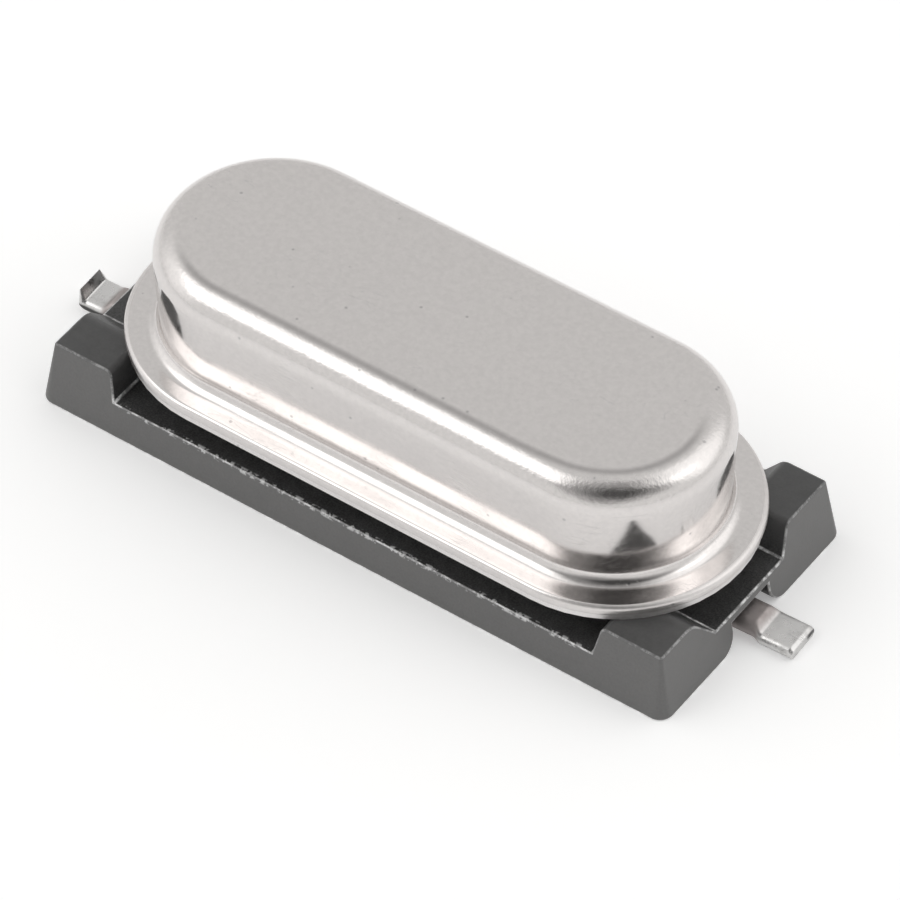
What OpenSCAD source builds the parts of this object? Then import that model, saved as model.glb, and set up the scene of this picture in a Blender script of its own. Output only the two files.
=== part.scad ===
// Two-terminal quartz crystal unit in a low-profile welded metal can. The can
// sits on a moulded insulator, and its two leads are turned out under the
// insulator and flattened into feet, for soldering to the face of a board.
// Millimetres, +Z up. The origin is the middle of the footprint, at the board.

/* [Metal can] */
// Length of the can's wall, over its round ends
can_length = 9.72; // [9.5:0.02:9.8]
// Width of the can's wall
can_width = 3.64; // [3.5:0.02:3.7]
// Height of the can's top above the board
total_height = 3.3; // [3.2:0.05:4.2]
// Thickness of the drawn sheet
can_sheet = 0.17; // [0.12:0.01:0.2]
// Radius of the shoulder between the wall and the top
shoulder_radius = 0.45; // [0.3:0.05:0.7]
// Radius where the wall turns out into the flange
foot_fillet = 0.18; // [0.1:0.02:0.24]

/* [Welded flange] */
// Length of the can's flange, over its round ends
flange_length = 10.7; // [10.6:0.02:10.8]
// Width of the can's flange
flange_width = 4.48; // [4.42:0.02:4.56]
// Thickness of the header's coined flange, under the can's
header_flange = 0.11; // [0.08:0.01:0.16]
// Step from the can's flange in to the header's flange
flange_step = 0.03; // [0.01:0.01:0.06]

/* [Insulator] */
// Length of the insulator at the board
base_length = 11.4; // [11.2:0.1:11.6]
// Width of the insulator at the board
base_width = 4.7; // [4.6:0.1:4.9]
// Height of the corner blocks that carry the can
block_height = 1.14; // [1.1:0.02:1.2]
// Height of the plate between the corner blocks
plate_height = 0.62; // [0.6:0.02:0.7]
// Inward lean of each side, from the board to the top of the blocks
draft = 0.2; // [0.05:0.05:0.25]

/* [Leads] */
// Diameter of the round lead wire
wire_diameter = 0.43; // [0.4:0.01:0.44]
// Distance between the two leads where they leave the can
lead_pitch = 4.88; // [4.8:0.02:4.96]
// Overall length, over the tips of both feet
tip_to_tip = 12.88; // [12.7:0.02:13.1]
// Width of the flattened foot
foot_width = 0.66; // [0.56:0.02:0.72]
// Thickness of the flattened foot
foot_thickness = 0.21; // [0.18:0.01:0.26]
// Turn of the left foot towards the back, in degrees
turn_left = -2; // [-2:0.25:2]
// Turn of the right foot towards the back, in degrees
turn_right = 2; // [-2:0.25:2]

/* [Crystal] */
// Length of the quartz blank
blank_length = 7.6; // [7.4:0.1:7.8]
// Thickness of the quartz blank
blank_thickness = 0.167; // [0.12:0.001:0.2]

/* [Assembly] */
// How far the can sits to the right of the insulator's middle
can_shift_x = 0.16; // [-0.18:0.02:0.18]
// How far the can sits to the back of the insulator's middle
can_shift_y = -0.07; // [-0.08:0.01:0.08]
// How far the middle between the two tips sits to the right of the insulator's middle
feet_shift = 0.07; // [-0.08:0.01:0.08]

/* [Hidden] */
$fn = 64;
reach = 20;                              // longer than the whole part, for through cuts

// Can and header, up from the tops of the corner blocks
seam_z = block_height + header_flange;
flange_round = 0.06;
inner_length = can_length - 2 * can_sheet;
inner_width = can_width - 2 * can_sheet;
inner_top = total_height - can_sheet;
header_sheet = 0.16;
island_gap = 0.12;
island_length = inner_length - 2 * island_gap;
island_width = inner_width - 2 * island_gap;
island_top = block_height + 0.3;
island_round = 0.12;

// Glass seals in the header's eyelets
glass_diameter = 1.2;
eyelet_wall = 0.15;
eyelet_bottom = block_height + 0.02;
meniscus = 0.05;

// Insulator
corner_radius = draft + 0.04;            // at the board, and 0.04 at the top of the blocks
wire_hole = 0.86;
hole_stretch = 0.12;
hole_flare = 0.12;
groove_width = wire_hole;
groove_height = wire_diameter + 0.04;
arch_width = 0.94;
arch_depth = 0.5;
arch_foot_radius = 0.34;

// Inner sides of the corner blocks. Each slopes from its foot on the plate to its
// top edge, both measured from the middle, and a radius rolls it over at the top.
X_STEEP = [4.34, 4.44, 0.12];
X_GENTLE = [4.37, 4.76, 0.24];
Y_STEEP = [0.88, 1.12, 0.14];
Y_GENTLE = [0.87, 1.34, 0.38];
// The two sides of each block, with the corner that it stands in
BLOCKS = [[[-1, -1], X_STEEP, Y_GENTLE],
          [[1, -1], X_STEEP, Y_GENTLE],
          [[1, 1], X_GENTLE, Y_STEEP],
          [[-1, 1], X_STEEP, Y_STEEP]];
roll_steps = 4;

// Leads
wire_r = wire_diameter / 2;
bend_r = 0.45;
nail_head = 0.76;
nail_thickness = 0.12;
head_top = island_top + 0.18;
lead_sides = 24;
flat = cos(180 / lead_sides);            // from a corner of the section to its flats
bend_steps = 8;
press_steps = 5;
squeeze = [5.2, 5.45];                   // where the round wire is first squeezed
root = [0.58, 0.33];                     // width and thickness after that
press_mark = [5.8, 5.96];                // where the wire steps down to the flat foot
tip_bevel = [0.05, 0.04];                // length and drop of the right tip's sheared edge
// The thin lip that stands up where the left tip was pinched off: for each section
// its distance back from the tip, middle height, lean, width and thickness
LIP = [[0.15, foot_thickness / 2, 90, foot_width, foot_thickness],
       [0.08, 0.105, 117, foot_width, 0.21],
       [0.05, 0.155, 121, foot_width, 0.19],
       [0.015, 0.375, 117, foot_width - 0.14, 0.045]];

// Crystal and what holds it
clip_sheet = 0.08;
clip_width = 0.6;
clip_round = 0.12;
clip_bend = 0.14;
clip_tail = 0.32;
blank_bottom = head_top + clip_sheet + 0.06;
blank_top = inner_top - 0.09;
blank_height = blank_top - blank_bottom;
blank_mid = (blank_top + blank_bottom) / 2;
clip_x = blank_length / 2 - 0.16;        // outer face of the clip's upright
clip_top = blank_top - 0.25;
clip_slot = blank_thickness + 0.09;
film = 0.02;
film_length = 3.2;
film_margin = 0.14;
film_tab = 0.36;
film_end_gap = 0.05;
film_round = 0.15;
dot_radius = 0.27;

// ---------- helpers ----------

// Slot outline with round ends, along X
module stadium(length, width) {
    square([length - width, width], center = true);
    for (side = [-1, 1])
        translate([side * (length - width) / 2, 0])
            circle(d = width);
}

// Carries a section, drawn as radius and height, round a slot outline
module around_slot(straight) {
    for (side = [-1, 1])
        translate([side * straight / 2, 0, 0])
            rotate([0, 0, -90 * side])
                rotate_extrude(angle = 180)
                    children();
    rotate([90, 0, 90])
        linear_extrude(straight, center = true) {
            children();
            mirror([1, 0])
                children();
        }
}

// Section from the middle line out to a wall, with its top corner rounded
module round_shouldered(r, bottom, top, corner) {
    translate([0, bottom])
        square([r, top - corner - bottom]);
    translate([0, bottom])
        square([r - corner, top - bottom]);
    translate([r - corner, top - corner])
        circle(corner);
}

// Concave corner between an upright wall and a flat flange
module inside_fillet(wall, floor, radius) {
    difference() {
        translate([wall, floor])
            square(radius);
        translate([wall + radius, floor + radius])
            circle(radius);
    }
}

// Block whose four sides lean in, with conical corners
module leaning_block(length, width, height, lean, corner) {
    half_l = length / 2;
    half_w = width / 2;
    rotate([90, 0, 0])
        linear_extrude(width - 2 * corner, center = true)
            polygon([[-half_l, 0], [half_l, 0], [half_l - lean, height], [lean - half_l, height]]);
    rotate([90, 0, 90])
        linear_extrude(length - 2 * corner, center = true)
            polygon([[-half_w, 0], [half_w, 0], [half_w - lean, height], [lean - half_w, height]]);
    for (x = [-1, 1], y = [-1, 1])
        translate([x * (half_l - corner), y * (half_w - corner), 0])
            cylinder(h = height, r1 = corner, r2 = corner - lean);
}

// Turns what is modelled for the right-hand end to the left-hand end
module end(side) {
    mirror([side < 0 ? 1 : 0, 0, 0])
        children();
}

// Puts what belongs to the can where the can stands
module in_can() {
    translate([can_shift_x, can_shift_y, 0])
        children();
}

// ---------- can and header ----------

// Drawn can: wall, shoulder and foot fillet, flange, and the hollow parallel to them
module can() {
    straight = can_length - can_width;
    floor = seam_z + can_sheet;
    flare = foot_fillet + can_sheet;
    color("silver")
        in_can()
            difference() {
                union() {
                    around_slot(straight) {
                        round_shouldered(can_width / 2, seam_z, total_height, shoulder_radius);
                        inside_fillet(can_width / 2, floor, foot_fillet);
                    }
                    around_slot(flange_length - flange_width)
                        round_shouldered(flange_width / 2, seam_z, floor, flange_round);
                }
                around_slot(straight) {
                    round_shouldered(inner_width / 2, seam_z, inner_top, shoulder_radius - can_sheet);
                    inside_fillet(inner_width / 2, seam_z, flare);
                    translate([0, seam_z - 1])
                        square([inner_width / 2 + flare, 1]);
                }
            }
}

// Stamped header: coined flange, raised island and two eyelets turned down
module header() {
    flange_l = flange_length - 2 * flange_step;
    flange_w = flange_width - 2 * flange_step;
    color("lightgray")
        in_can()
            difference() {
                union() {
                    translate([0, 0, block_height])
                        linear_extrude(header_flange)
                            stadium(flange_l, flange_w);
                    around_slot(island_length - island_width)
                        round_shouldered(island_width / 2, block_height, island_top, island_round);
                }
                difference() {
                    translate([0, 0, block_height - 1])
                        linear_extrude(1 + island_top - header_sheet - block_height)
                            stadium(island_length - 2 * header_sheet, island_width - 2 * header_sheet);
                    for (side = [-1, 1])
                        translate([side * lead_pitch / 2, 0, eyelet_bottom])
                            cylinder(h = 1, d = glass_diameter + 2 * eyelet_wall);
                }
                for (side = [-1, 1])
                    translate([side * lead_pitch / 2, 0, 0])
                        cylinder(h = island_top + 1, d = glass_diameter);
            }
}

// Glass bead round the wire, its faces drawn up where they wet the metal
module glass_seal(side) {
    r = glass_diameter / 2;
    mid = (wire_r + r) / 2;
    dish = ((r - mid) * (r - mid) + meniscus * meniscus) / (2 * meniscus);
    color("darkseagreen")
        in_can()
            translate([side * lead_pitch / 2, 0, 0])
                rotate_extrude()
                    difference() {
                        translate([wire_r, eyelet_bottom])
                            square([r - wire_r, island_top - eyelet_bottom]);
                        translate([mid, island_top + dish - meniscus])
                            circle(dish);
                        translate([mid, eyelet_bottom - dish + meniscus])
                            circle(dish);
                    }
}

// ---------- insulator ----------

// Outline of a block seen along one of its inner sides: foot, slope, roll and flat top
function block_profile(side) =
    let (slope = atan2(block_height - plate_height, side[1] - side[0]),
         roll_x = side[1] + side[2] * tan(slope / 2))
    concat(
        [[side[0], 0], [side[0], plate_height]],
        [for (i = [0 : roll_steps])
            let (a = 90 + slope * (1 - i / roll_steps))
            [roll_x + side[2] * cos(a), block_height - side[2] + side[2] * sin(a)]],
        [[reach / 2, block_height], [reach / 2, 0]]);

// One corner block, with its two inner sides
module corner_block(x_side, y_side) {
    intersection() {
        rotate([90, 0, 0])
            linear_extrude(reach, center = true)
                polygon(block_profile(x_side));
        rotate([90, 0, 90])
            linear_extrude(reach, center = true)
                polygon(block_profile(y_side));
    }
}

// Stretched hole for the wire, its groove out to the end and the arch there
module lead_way() {
    translate([lead_pitch / 2 + hole_stretch / 2, 0, -1])
        linear_extrude(reach)
            stadium(wire_hole + hole_stretch, wire_hole);
    translate([lead_pitch / 2, 0, plate_height - hole_flare])
        cylinder(h = 2 * hole_flare, d1 = wire_hole, d2 = wire_hole + 4 * hole_flare);
    translate([lead_pitch / 2, -groove_width / 2, -1])
        cube([reach, groove_width, 1 + groove_height]);
    translate([base_length / 2 - arch_depth, 0, 0])
        rotate([90, 0, 90])
            linear_extrude(reach) {
                translate([-arch_width / 2, -1])
                    square([arch_width, 1 + groove_height]);
                for (y = [0, 1])
                    mirror([y, 0])
                        inside_fillet(arch_width / 2, 0, arch_foot_radius);
            }
}

// Moulded seat for the can: thin plate, four corner blocks and two lead grooves
module insulator() {
    color("dimgray")
        difference() {
            intersection() {
                leaning_block(base_length, base_width, block_height, draft, corner_radius);
                union() {
                    translate([-reach / 2, -reach / 2, 0])
                        cube([reach, reach, plate_height]);
                    for (block = BLOCKS)
                        mirror([block[0][0] < 0 ? 1 : 0, 0, 0])
                            mirror([0, block[0][1] < 0 ? 1 : 0, 0])
                                corner_block(block[1], block[2]);
                }
            }
            for (side = [-1, 1])
                end(side)
                    lead_way();
        }
}

// ---------- leads ----------

// Point of a section with flat top and bottom and round sides, seen along the lead
function section_point(k, width, thickness) =
    let (angle = 360 * (k + 0.5) / lead_sides)
    [sign(cos(angle)) * (width - thickness) / 2 + thickness / 2 * cos(angle) / flat,
     thickness / 2 * sin(angle) / flat];

// Section set across the lead's path. Theta is 0 on the upright and 90 on the foot.
function ring(x, z, theta, width, thickness) =
    [for (k = [0 : lead_sides - 1])
        let (p = section_point(k, width, thickness))
        [x + p[1] * cos(theta), p[0], z + p[1] * sin(theta)]];

// Rings that ease one [width, thickness] into another along the board
function eased(span, from, to) =
    [for (i = [0 : press_steps])
        let (u = i / press_steps,
             size = from + u * u * (3 - 2 * u) * (to - from))
        ring(span[0] + u * (span[1] - span[0]), size[1] / 2, 90, size[0], size[1])];

// Last rings of the right foot, whose top edge the shears bevelled
function bevelled_tip(tip) =
    [ring(tip - tip_bevel[0], foot_thickness / 2, 90, foot_width, foot_thickness),
     ring(tip, (foot_thickness - tip_bevel[1]) / 2, 90, foot_width, foot_thickness - tip_bevel[1])];

// Last rings of the left foot, up to the edge of its lip
function lipped_tip(tip) = [for (s = LIP) ring(tip - s[0], s[1], s[2], s[3], s[4])];

// Rings of one lead from its nail head to its tip, as the press shapes the wire.
// Post is how far the upright stands from the middle, and tip how far the lead runs from it.
function lead_rings(post, tip, side) =
    let (wire = [wire_diameter * flat, wire_diameter * flat],
         foot = [foot_width, foot_thickness],
         away = [post, post],
         nail = nail_head * flat,
         straight_z = bend_r + wire_r)
    concat(
        [ring(0, head_top, 0, nail, nail),
         ring(0, head_top - nail_thickness, 0, nail, nail),
         ring(0, head_top - nail_thickness, 0, wire[0], wire[1])],
        [for (i = [0 : bend_steps])
            let (theta = 90 * i / bend_steps)
            ring(bend_r * (1 - cos(theta)), straight_z - bend_r * sin(theta), theta, wire[0], wire[1])],
        eased(squeeze - away, wire, root),
        eased(press_mark - away, root, foot),
        side < 0 ? lipped_tip(tip) : bevelled_tip(tip));

// Closed skin over a list of rings
module loft(rings) {
    n = len(rings[0]);
    last = len(rings) - 1;
    polyhedron(
        points = [for (r = rings) each r],
        faces = concat(
            [[for (k = [0 : n - 1]) k]],
            [for (j = [0 : last - 1], k = [0 : n - 1])
                [j * n + k, (j + 1) * n + k, (j + 1) * n + (k + 1) % n, j * n + (k + 1) % n]],
            [[for (k = [n - 1 : -1 : 0]) last * n + k]]));
}

// Lead at its place: side is -1 for left and 1 for right, and a positive turn
// swings either foot towards the back
module placed_lead(side, turn) {
    post = lead_pitch / 2 + side * can_shift_x;
    out = tip_to_tip / 2 + side * feet_shift;
    tip = (out - post - foot_width / 2 * sin(abs(turn))) / cos(turn);
    color("gainsboro")
        translate([side * post, can_shift_y, 0])
            end(side)
                rotate([0, 0, turn])
                    loft(lead_rings(post, tip, side));
}

// ---------- crystal and its clips ----------

// Bent strip: tail welded to the nail head, upright slotted for the blank's end
module clip_shape() {
    foot_z = head_top + clip_sheet;
    bend_out = clip_bend + clip_sheet;
    difference() {
        intersection() {
            rotate([90, 0, 0])
                linear_extrude(clip_width, center = true) {
                    translate([lead_pitch / 2 - clip_tail, head_top])
                        square([clip_x - bend_out - lead_pitch / 2 + clip_tail, clip_sheet]);
                    translate([clip_x - clip_sheet, foot_z + clip_bend])
                        square([clip_sheet, clip_top - foot_z - clip_bend]);
                    translate([clip_x - bend_out, foot_z + clip_bend])
                        intersection() {
                            difference() {
                                circle(bend_out);
                                circle(clip_bend);
                            }
                            translate([0, -bend_out])
                                square(bend_out);
                        }
                }
            rotate([90, 0, 90])
                linear_extrude(reach, center = true) {
                    translate([-clip_width / 2, 0])
                        square([clip_width, clip_top - clip_round]);
                    for (side = [-1, 1])
                        translate([side * (clip_width / 2 - clip_round), clip_top - clip_round])
                            circle(clip_round);
                    translate([clip_round - clip_width / 2, 0])
                        square([clip_width - 2 * clip_round, clip_top]);
                }
        }
        translate([clip_x - bend_out, -clip_slot / 2, blank_bottom - 0.03])
            cube([1, clip_slot, reach]);
    }
}

module spring_clip(side) {
    color("goldenrod")
        in_can()
            end(side)
                clip_shape();
}

// Thin rectangular plate of quartz, standing on its long edge
module blank_shape() {
    translate([-blank_length / 2, -blank_thickness / 2, blank_bottom])
        cube([blank_length, blank_thickness, blank_height]);
}

module quartz_blank() {
    color("aliceblue")
        in_can()
            blank_shape();
}

// Metal film on the front face, with its tab running out to the left end
module film_shape() {
    pad_height = blank_height - 2 * film_margin;
    translate([0, -blank_thickness / 2, blank_mid])
        rotate([90, 0, 0])
            linear_extrude(film) {
                square([film_length - 2 * film_round, pad_height], center = true);
                square([film_length, pad_height - 2 * film_round], center = true);
                for (x = [-1, 1], y = [-1, 1])
                    translate([x * (film_length / 2 - film_round), y * (pad_height / 2 - film_round)])
                        circle(film_round);
                translate([film_end_gap - blank_length / 2, -film_tab / 2])
                    square([blank_length / 2 - film_end_gap, film_tab]);
            }
}

// The back film is the front one after a half turn, so its tab runs out to the right
module electrode(turn) {
    color("gold")
        in_can()
            rotate([0, 0, turn])
                film_shape();
}

// Conductive adhesive round the end of the blank, where it leaves the clip's slot
module adhesive(side) {
    color("slategray")
        in_can()
            difference() {
                end(side)
                    translate([clip_x - clip_sheet / 2, 0, blank_mid])
                        sphere(dot_radius);
                blank_shape();
                for (turn = [0, 180])
                    rotate([0, 0, turn])
                        film_shape();
                end(side)
                    clip_shape();
            }
}

can();
header();
insulator();
placed_lead(-1, turn_left);  // lead_left
placed_lead(1, turn_right);  // lead_right
glass_seal(-1);  // glass_seal_left
glass_seal(1);  // glass_seal_right
spring_clip(-1);  // spring_clip_left
spring_clip(1);  // spring_clip_right
quartz_blank();
electrode(0);  // electrode_front
electrode(180);  // electrode_back
adhesive(-1);  // adhesive_left
adhesive(1);  // adhesive_right
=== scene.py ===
# %% [markdown]
# # A quartz crystal unit in a low metal can
# This lesson dresses a small electronic part: a drawn metal can on a dark moulded
# seat, with two wire leads that are pressed flat into solder feet. The whole part is
# 13 mm long. The solids are already made to size, so each step here either gives a
# solid its finish or makes a finer skin of the same size in its place.

# %% Load the solids
import math

import bmesh
import bpy
from mathutils import Matrix, Vector


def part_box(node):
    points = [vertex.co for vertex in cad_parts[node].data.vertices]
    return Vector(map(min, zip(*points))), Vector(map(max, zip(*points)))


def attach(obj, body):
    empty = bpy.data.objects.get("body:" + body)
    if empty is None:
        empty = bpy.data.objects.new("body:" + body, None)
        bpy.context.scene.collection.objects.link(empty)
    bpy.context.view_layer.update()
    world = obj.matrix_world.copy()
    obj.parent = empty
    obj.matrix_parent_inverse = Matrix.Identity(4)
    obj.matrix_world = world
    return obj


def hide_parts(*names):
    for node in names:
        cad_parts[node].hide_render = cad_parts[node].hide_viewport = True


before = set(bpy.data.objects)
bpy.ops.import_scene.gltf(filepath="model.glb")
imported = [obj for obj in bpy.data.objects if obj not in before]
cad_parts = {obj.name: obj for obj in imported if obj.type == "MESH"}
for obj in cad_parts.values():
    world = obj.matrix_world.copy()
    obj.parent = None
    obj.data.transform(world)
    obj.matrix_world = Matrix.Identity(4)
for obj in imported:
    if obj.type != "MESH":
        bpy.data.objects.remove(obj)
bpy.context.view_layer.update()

print("solids:", ", ".join(sorted(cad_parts)))

# %% [markdown]
# Blender works in metres and this part is drawn in millimetres, so one constant does
# the conversion. The can's place and outline and the height of the leads are read
# from the solids themselves. Sizes that a box can't tell, such as a sheet's thickness
# or a bend's radius, are given where they are first needed. Sizes of the
# part are in small letters, and settings of the scene and its tools in capitals.

# %% Sizes
MM = 0.001


def box_mm(node):
    """Lowest and highest corner of a solid, in millimetres."""
    low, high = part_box(node)
    return low / MM, high / MM


can_low, can_high = box_mm("can")
can_middle = (can_low + can_high) / 2
can_top = can_high.z
flange_bottom = can_low.z
flange_r = (can_high.y - can_low.y) / 2
flange_half = (can_high.x - can_low.x) / 2 - flange_r

wall_r = 1.82          # half the can's width, at the shoulder
wall_half = 3.04       # half of the wall's straight run
sheet = 0.17           # thickness of the drawn sheet
shoulder = 0.45        # outer radius between the wall and the top
wall_lean = 0.06       # how far the wall comes in on its way down
foot_fillet = 0.22     # radius where the wall turns out into the flange
flat_from = 2.0        # where the flange's flat underside begins
flange_edge = 0.075    # rolled upper edge of the flange
burr = 0.025           # small round that the shears leave on its lower edge
plate_top = 0.62       # height of the seat's plate
print("can:", round(2 * (wall_half + wall_r), 2), "x", round(2 * wall_r, 2), "mm, top at",
      round(can_top, 2))

# %% [markdown]
# ## Small helpers for node trees
# Every finish below, the light tent and the sweep of the can are node trees built in
# code. The first helper adds a node and fills in its sockets and settings. The others
# build on it: sums, clamped ramps, noise, mixed colours and a bump.

# %% Node helpers


def add(tree, kind, inputs=None, **settings):
    """Adds a node, sets its properties, and fills sockets by name or number."""
    item = tree.nodes.new(kind)
    for name, value in settings.items():
        setattr(item, name, value)
    for name, value in (inputs or {}).items():
        if isinstance(value, bpy.types.NodeSocket):
            tree.links.new(value, item.inputs[name])
        else:
            item.inputs[name].default_value = value
    return item


def calc(tree, operation, *values, clamp=False):
    """A Math node on numbers or sockets, returning its output."""
    item = add(tree, "ShaderNodeMath", dict(enumerate(values)), operation=operation)
    item.use_clamp = clamp
    return item.outputs[0]


def product(tree, first, *others):
    """Several numbers or sockets multiplied together."""
    for value in others:
        first = calc(tree, "MULTIPLY", first, value)
    return first


def distance(tree, value, middle):
    """How far a value is from a middle value, on either side."""
    return calc(tree, "ABSOLUTE", calc(tree, "SUBTRACT", value, middle))


def remap(tree, value, low, high, to_low, to_high, kind="LINEAR"):
    """A clamped Map Range node, returning its output."""
    names = {"Value": value, "From Min": low, "From Max": high, "To Min": to_low,
             "To Max": to_high}
    return add(tree, "ShaderNodeMapRange", names, interpolation_type=kind).outputs["Result"]


def between(tree, value, low, high, soft):
    """1 from low to high and 0 outside, with soft ends."""
    rise = remap(tree, value, low - soft, low + soft, 0.0, 1.0, "SMOOTHSTEP")
    fall = remap(tree, value, high - soft, high + soft, 1.0, 0.0, "SMOOTHSTEP")
    return product(tree, rise, fall)


def split(tree, vector):
    """The X, Y and Z outputs of a vector."""
    return add(tree, "ShaderNodeSeparateXYZ", {0: vector}).outputs


def new_material(name):
    """An empty material with its shader, and the object's own coordinates in mm."""
    material = bpy.data.materials.new(name)
    material.use_nodes = True
    tree = material.node_tree
    tree.nodes.clear()
    out = add(tree, "ShaderNodeOutputMaterial")
    shader = add(tree, "ShaderNodeBsdfPrincipled")
    tree.links.new(shader.outputs[0], out.inputs["Surface"])
    place = add(tree, "ShaderNodeTexCoord").outputs["Object"]
    in_mm = add(tree, "ShaderNodeMapping", {"Vector": place, "Scale": (1000, 1000, 1000)})
    return material, tree, shader, in_mm.outputs["Vector"]


def cloud(tree, place, scale, detail=3.0, rough=0.55, distort=0.0):
    """Fractal noise from 0 to 1, with its scale in lumps per millimetre."""
    names = {"Vector": place, "Scale": scale, "Detail": detail, "Roughness": rough,
             "Distortion": distort}
    return add(tree, "ShaderNodeTexNoise", names).outputs["Fac"]


def blend_colour(tree, share, first, second):
    """Mixes two colours, given as values or sockets."""
    item = add(tree, "ShaderNodeMix", data_type="RGBA")
    for name, value in (("Factor", share), ("A", first), ("B", second)):
        slots = [s for s in item.inputs if s.name == name and s.enabled]
        if isinstance(value, bpy.types.NodeSocket):
            tree.links.new(value, slots[0])
        else:
            slots[0].default_value = value
    return [s for s in item.outputs if s.enabled][0]


def grey(level, warmth=0.0):
    """A colour near grey. Warmth above zero leans it to yellow."""
    return (level * (1 + warmth), level, level * (1 - warmth), 1.0)


def shaded(colour, share):
    """A colour with its brightness multiplied."""
    return tuple(c * share for c in colour[:3]) + (1.0,)


def bump(tree, shader, height, depth_mm):
    """Presses a height pattern into the surface, with its depth in millimetres."""
    item = add(tree, "ShaderNodeBump", {"Height": height, "Distance": depth_mm * MM,
                                        "Strength": 1.0})
    tree.links.new(item.outputs["Normal"], shader.inputs["Normal"])


# %% [markdown]
# ## Finishes
# The can is drawn from thin steel and plated with nickel. Plating copies the grain of
# the rolled sheet below it, so the metal is satin and not a mirror: a fine mottle, a
# few dark pits, and hairline scratches from handling. Each is a layer of its own and
# changes the height as well as the tone, so that it catches the light from any side.
# The mottle and the scratches change the roughness too.
#
# The press tools leave marks at fixed distances from the middle line of the slot
# outline, so those are placed by that distance: the stretched shoulder is rougher,
# with a slight orange peel, and the sheared rim of the flange is dull. A thin dark
# line is also painted along the edge of the top, at a fixed distance from that middle
# line, strongest at the front and the right end.

# %% Plated sheet metal
line_at = 1.435         # distance of the painted dark line from the slot's middle line
line_half = 0.1         # half its width
LINE_DARK = 0.34        # its greatest strength


def scratches(tree, place, turn, spacing, width):
    """Sparse hairlines: a stretched noise, kept only where it crosses its middle value."""
    turned = add(tree, "ShaderNodeMapping", {"Vector": place, "Rotation": (0.0, 0.0, turn),
                                             "Scale": (0.16, 1.0, 1.0)})
    lines = cloud(tree, turned.outputs["Vector"], spacing, detail=1.0, distort=0.5)
    hair = remap(tree, distance(tree, lines, 0.5), 0.0, width, 1.0, 0.0, "SMOOTHSTEP")
    patches = remap(tree, cloud(tree, place, 0.9, 2.0), 0.52, 0.62, 0.0, 1.0)
    return product(tree, hair, patches)


def pits(tree, place, scale, size, keep):
    """Scattered round pits: cells whose random value is low, drawn as small discs."""
    cells = add(tree, "ShaderNodeTexVoronoi", {"Vector": place, "Scale": scale,
                                               "Randomness": 1.0}).outputs
    disc = remap(tree, cells["Distance"], size * 0.5, size, 1.0, 0.0, "SMOOTHSTEP")
    chance = add(tree, "ShaderNodeSeparateColor", {"Color": cells["Color"]}).outputs[0]
    return product(tree, disc, calc(tree, "LESS_THAN", chance, keep))


def past_straight(tree, along):
    """How far a place is past the straight part of the slot, at either end."""
    return calc(tree, "MAXIMUM", calc(tree, "SUBTRACT", along, wall_half), 0.0)


def from_slot_line(tree, place):
    """Distance in mm from the middle line of the can's slot outline, and the height."""
    at = split(tree, place)
    past_end = past_straight(tree, distance(tree, at["X"], can_middle.x))
    across = calc(tree, "SUBTRACT", at["Y"], can_middle.y)
    squares = calc(tree, "ADD", calc(tree, "POWER", past_end, 2.0), product(tree, across, across))
    return calc(tree, "SQRT", squares), at["Z"]


def plated_metal(name, tone, roughness, wear=1.0):
    """Satin plated sheet, with its tool marks. Returns what new_material does."""
    material, tree, shader, place = new_material(name)
    mottle = cloud(tree, place, 12.0, 4.0, 0.65)
    broad = cloud(tree, place, 0.8, 3.0)
    hair = calc(tree, "MAXIMUM", scratches(tree, place, 0.5, 7.0, 0.006),
                scratches(tree, place, 2.1, 5.0, 0.005))
    pit = pits(tree, place, 4.5, 0.16, 0.12 * wear)

    clean = blend_colour(tree, remap(tree, mottle, 0.35, 0.65, 0.0, 1.0), shaded(tone, 0.935), tone)
    marked = blend_colour(tree, product(tree, hair, 0.35 * wear), clean, grey(tone[1] * 0.7))
    pitted = blend_colour(tree, product(tree, pit, 0.5), marked, grey(tone[1] * 0.5))
    tree.links.new(pitted, shader.inputs["Base Color"])
    shader.inputs["Metallic"].default_value = 1.0

    away, height = from_slot_line(tree, place)
    over_shoulder = between(tree, away, wall_r - shoulder, wall_r - 0.02, 0.04)
    drawn = product(tree, over_shoulder, calc(tree, "GREATER_THAN", height, can_top - shoulder))
    sheared = remap(tree, away, flange_r - 0.02, flange_r - 0.005, 0.0, 0.25)
    satin = remap(tree, mottle, 0.3, 0.7, roughness * 0.8, roughness * 1.25)
    patchy = calc(tree, "ADD", satin, remap(tree, broad, 0.35, 0.65, -0.02, 0.03))
    worn = calc(tree, "ADD", patchy, product(tree, hair, 0.12))
    rough = calc(tree, "ADD", calc(tree, "MULTIPLY_ADD", drawn, 0.06, worn), sheared)
    tree.links.new(rough, shader.inputs["Roughness"])

    dents = calc(tree, "ADD", product(tree, hair, 0.35), pit)
    grain = calc(tree, "SUBTRACT", product(tree, mottle, 0.4), dents)
    peel = product(tree, drawn, product(tree, cloud(tree, place, 16.0, 2.0, 0.6), 2.4))
    bump(tree, shader, calc(tree, "ADD", grain, peel), 0.0012)
    return material, tree, shader, place


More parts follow.
